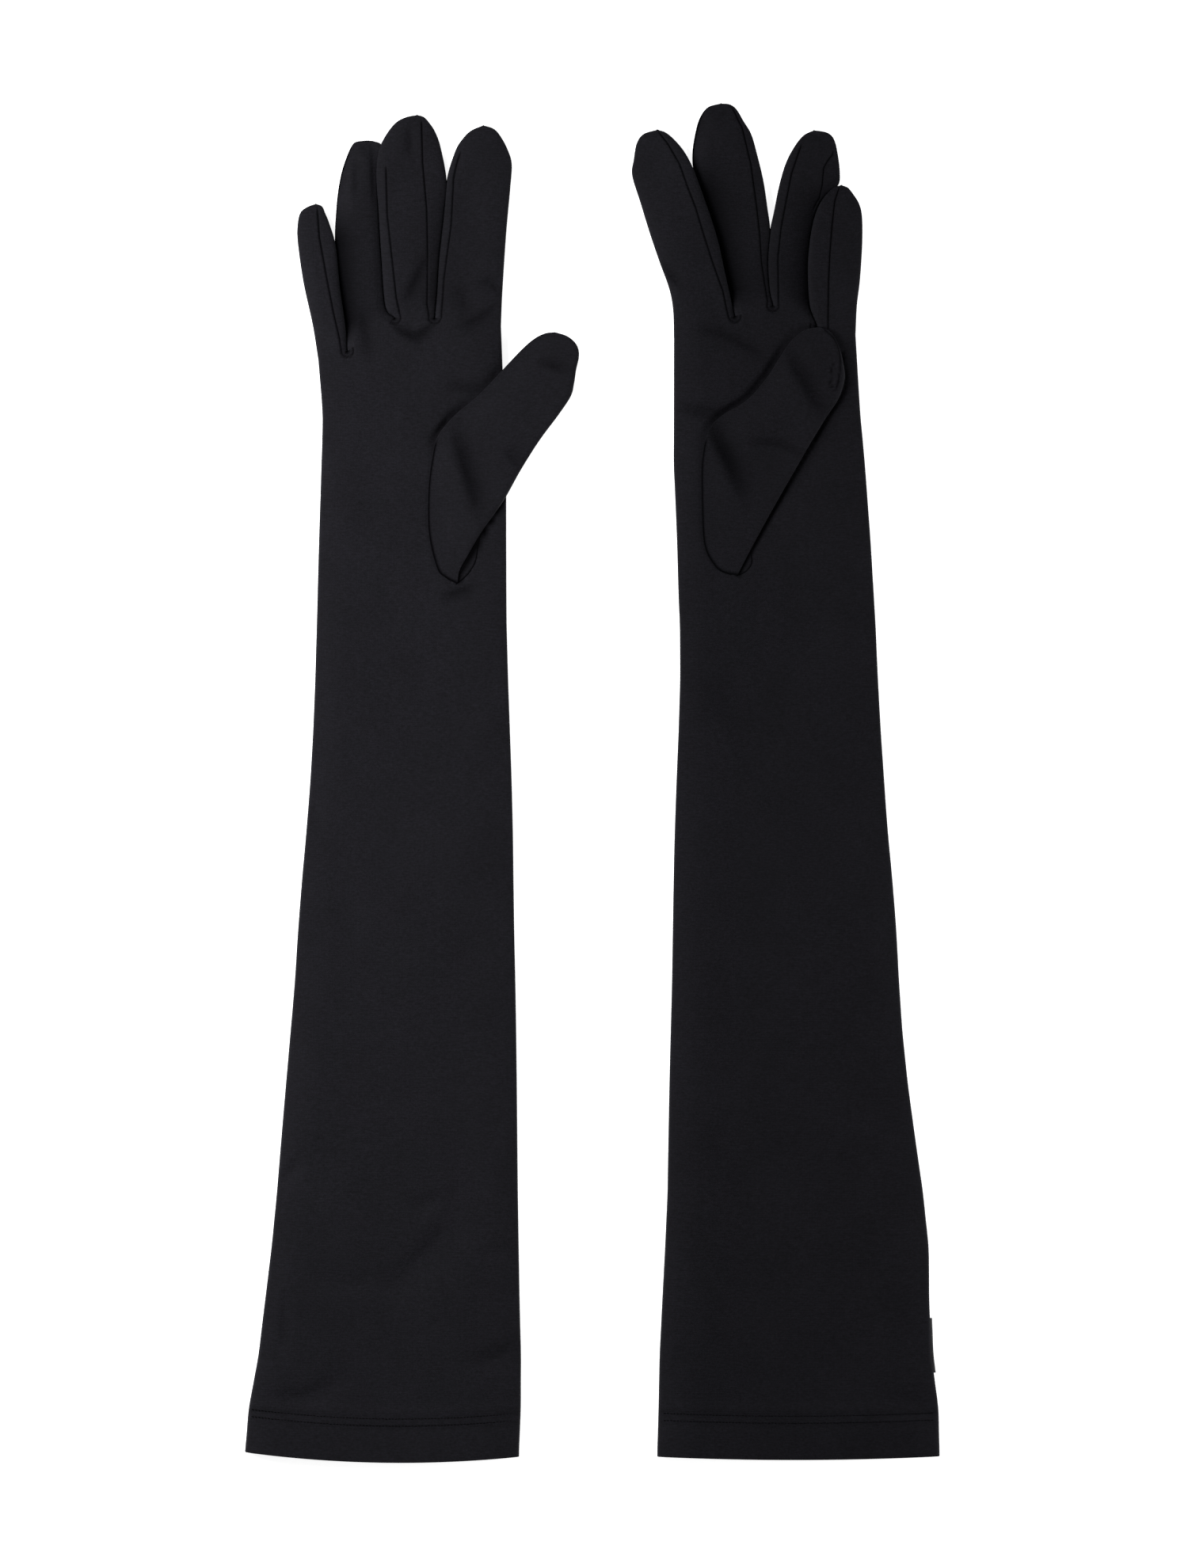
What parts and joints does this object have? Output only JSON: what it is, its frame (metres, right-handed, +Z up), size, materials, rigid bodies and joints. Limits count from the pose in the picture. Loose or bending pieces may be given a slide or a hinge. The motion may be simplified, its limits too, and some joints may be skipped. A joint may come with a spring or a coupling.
{
  "type": "opera gloves",
  "caption": "Pair of long black stretch opera gloves laid flat with the palms up, with folding elbows, wrists, fingers and thumbs.",
  "frame": {"origin": "under the middle of the pair, on the surface that the gloves lie on", "axes": "+Z up out of the palms, +Y towards the fingertips, +X from the right-hand glove towards the left-hand glove"},
  "size_m": [0.3088, 0.602, 0.0102],
  "materials": {
    "black_jersey": "matte fine stretch jersey",
    "black_jersey_inside": "matte reverse of the stretch jersey",
    "black_thread": "slightly shiny polyester thread",
    "black_label_tape": "plain woven tape, blank"
  },
  "bodies": {
    "right_upper_arm": {"right_upper_sleeve": "black_jersey", "right_hem_turn_up": "black_jersey_inside", "right_hem_thread_lower": "black_thread", "right_hem_thread_upper": "black_thread", "right_upper_arm_seam": "black_thread"},
    "right_forearm": {"right_forearm_sleeve": "black_jersey", "right_forearm_seam": "black_thread"},
    "right_hand": {"right_hand": "black_jersey", "right_hand_seam": "black_thread", "right_little_finger_gusset_root": "black_jersey", "right_thumb_base": "black_jersey"},
    "right_thumb": {"right_thumb_stall": "black_jersey"},
    "right_little": {"right_little_finger": "black_jersey", "right_little_fourchette_right_side": "black_jersey"},
    "right_ring": {"right_ring_finger": "black_jersey", "right_ring_fourchette_left_side": "black_jersey", "right_ring_fourchette_right_side": "black_jersey"},
    "right_middle": {"right_middle_finger": "black_jersey", "right_middle_fourchette_left_side": "black_jersey", "right_middle_fourchette_right_side": "black_jersey"},
    "right_index": {"right_index_finger": "black_jersey", "right_index_fourchette_left_side": "black_jersey"},
    "left_upper_arm": {"left_upper_sleeve": "black_jersey", "left_hem_turn_up": "black_jersey_inside", "left_hem_thread_lower": "black_thread", "left_hem_thread_upper": "black_thread", "left_upper_arm_seam": "black_thread", "left_side_label": "black_label_tape"},
    "left_forearm": {"left_forearm_sleeve": "black_jersey", "left_forearm_seam": "black_thread"},
    "left_hand": {"left_hand": "black_jersey", "left_hand_seam": "black_thread", "left_little_finger_gusset_root": "black_jersey", "left_thumb_base": "black_jersey"},
    "left_thumb": {"left_thumb_stall": "black_jersey"},
    "left_index": {"left_index_finger": "black_jersey", "left_index_fourchette_right_side": "black_jersey"},
    "left_middle": {"left_middle_finger": "black_jersey", "left_middle_fourchette_left_side": "black_jersey", "left_middle_fourchette_right_side": "black_jersey"},
    "left_ring": {"left_ring_finger": "black_jersey", "left_ring_fourchette_left_side": "black_jersey", "left_ring_fourchette_right_side": "black_jersey"},
    "left_little": {"left_little_finger": "black_jersey", "left_little_fourchette_left_side": "black_jersey"}
  },
  "joints": [
    {"name": "right_elbow_fold", "type": "hinge", "parent": "right_forearm", "child": "right_upper_arm", "pos_m": [-0.08641, -0.16, 0.00761], "axis": [-1, 0, 0], "range_deg": [-5, 150]},
    {"name": "right_wrist_fold", "type": "hinge", "parent": "right_forearm", "child": "right_hand", "pos_m": [-0.08078, 0.074, 0.0028], "axis": [1, 0, 0], "range_deg": [-60, 70]},
    {"name": "right_little_fold", "type": "hinge", "parent": "right_hand", "child": "right_little", "pos_m": [-0.11573, 0.1915, 0.0056], "axis": [1, 0, 0], "range_deg": [-8, 90]},
    {"name": "right_ring_fold", "type": "hinge", "parent": "right_hand", "child": "right_ring", "pos_m": [-0.09913, 0.207, 0.0056], "axis": [1, 0, 0], "range_deg": [-8, 90]},
    {"name": "right_middle_fold", "type": "hinge", "parent": "right_hand", "child": "right_middle", "pos_m": [-0.07942, 0.2073, 0.0056], "axis": [1, 0, 0], "range_deg": [-8, 90]},
    {"name": "right_index_fold", "type": "hinge", "parent": "right_hand", "child": "right_index", "pos_m": [-0.0553, 0.2073, 0.0056], "axis": [1, 0, 0], "range_deg": [-8, 90]},
    {"name": "right_thumb_fold", "type": "hinge", "parent": "right_hand", "child": "right_thumb", "pos_m": [-0.05175, 0.1425, 0.01015], "axis": [0.8448, -0.5351, 0], "range_deg": [0, 75]},
    {"name": "left_elbow_fold", "type": "hinge", "parent": "left_forearm", "child": "left_upper_arm", "pos_m": [0.08824, -0.16, 0.00761], "axis": [-1, 0, 0], "range_deg": [-5, 150]},
    {"name": "left_wrist_fold", "type": "hinge", "parent": "left_forearm", "child": "left_hand", "pos_m": [0.08163, 0.074, 0.0028], "axis": [1, 0, 0], "range_deg": [-60, 70]},
    {"name": "left_index_fold", "type": "hinge", "parent": "left_hand", "child": "left_index", "pos_m": [0.04827, 0.2095, 0.0056], "axis": [1, 0, 0], "range_deg": [-8, 90]},
    {"name": "left_middle_fold", "type": "hinge", "parent": "left_hand", "child": "left_middle", "pos_m": [0.07002, 0.2125, 0.0056], "axis": [1, 0, 0], "range_deg": [-8, 90]},
    {"name": "left_ring_fold", "type": "hinge", "parent": "left_hand", "child": "left_ring", "pos_m": [0.08732, 0.2125, 0.0056], "axis": [1, 0, 0], "range_deg": [-8, 90]},
    {"name": "left_little_fold", "type": "hinge", "parent": "left_hand", "child": "left_little", "pos_m": [0.10733, 0.2035, 0.0056], "axis": [1, 0, 0], "range_deg": [-8, 90]},
    {"name": "left_thumb_fold", "type": "hinge", "parent": "left_hand", "child": "left_thumb", "pos_m": [0.07145, 0.14905, 0.01015], "axis": [0.8454, -0.5341, 0], "range_deg": [0, 75]},
    {"name": "pair_spread", "type": "slide", "parent": "right_forearm", "child": "left_forearm", "axis": [1, 0, 0], "range_m": [-0.015, 0.2]}
  ]
}
